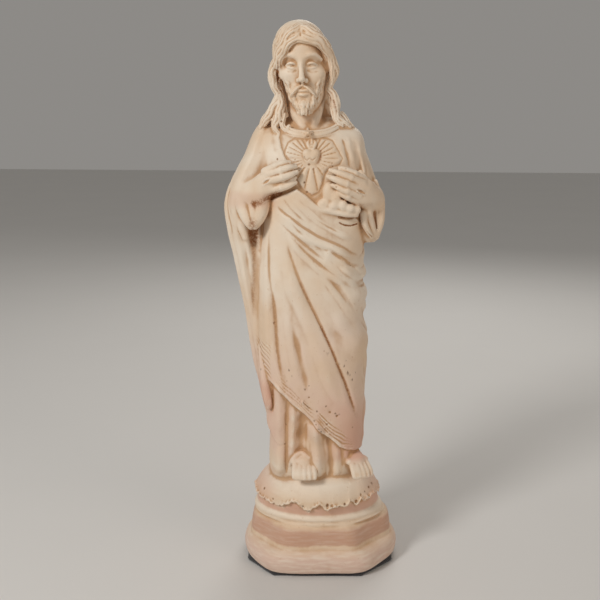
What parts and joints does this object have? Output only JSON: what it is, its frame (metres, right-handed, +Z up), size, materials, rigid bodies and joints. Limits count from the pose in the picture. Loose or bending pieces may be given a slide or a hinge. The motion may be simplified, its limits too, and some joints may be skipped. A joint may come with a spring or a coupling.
{
  "type": "sacred heart statue",
  "caption": "Tall, narrow cast plaster figure of a robed, bearded man with both hands at a heart on the chest, on a stepped octagonal base with a felt pad below.",
  "frame": {"origin": "middle of the base's footprint, on the underside of the felt pad", "axes": "+Z up along the figure's height, -Y towards the front, which the figure faces, +X to a viewer's right"},
  "size_m": [0.1333, 0.093, 0.4065],
  "materials": {
    "plaster": "cream painted cast plaster with a tan glaze left in the folds, matte",
    "felt": "near-black pressed felt"
  },
  "bodies": {
    "root": {"statue": "plaster", "felt_pad": "felt"}
  },
  "joints": []
}
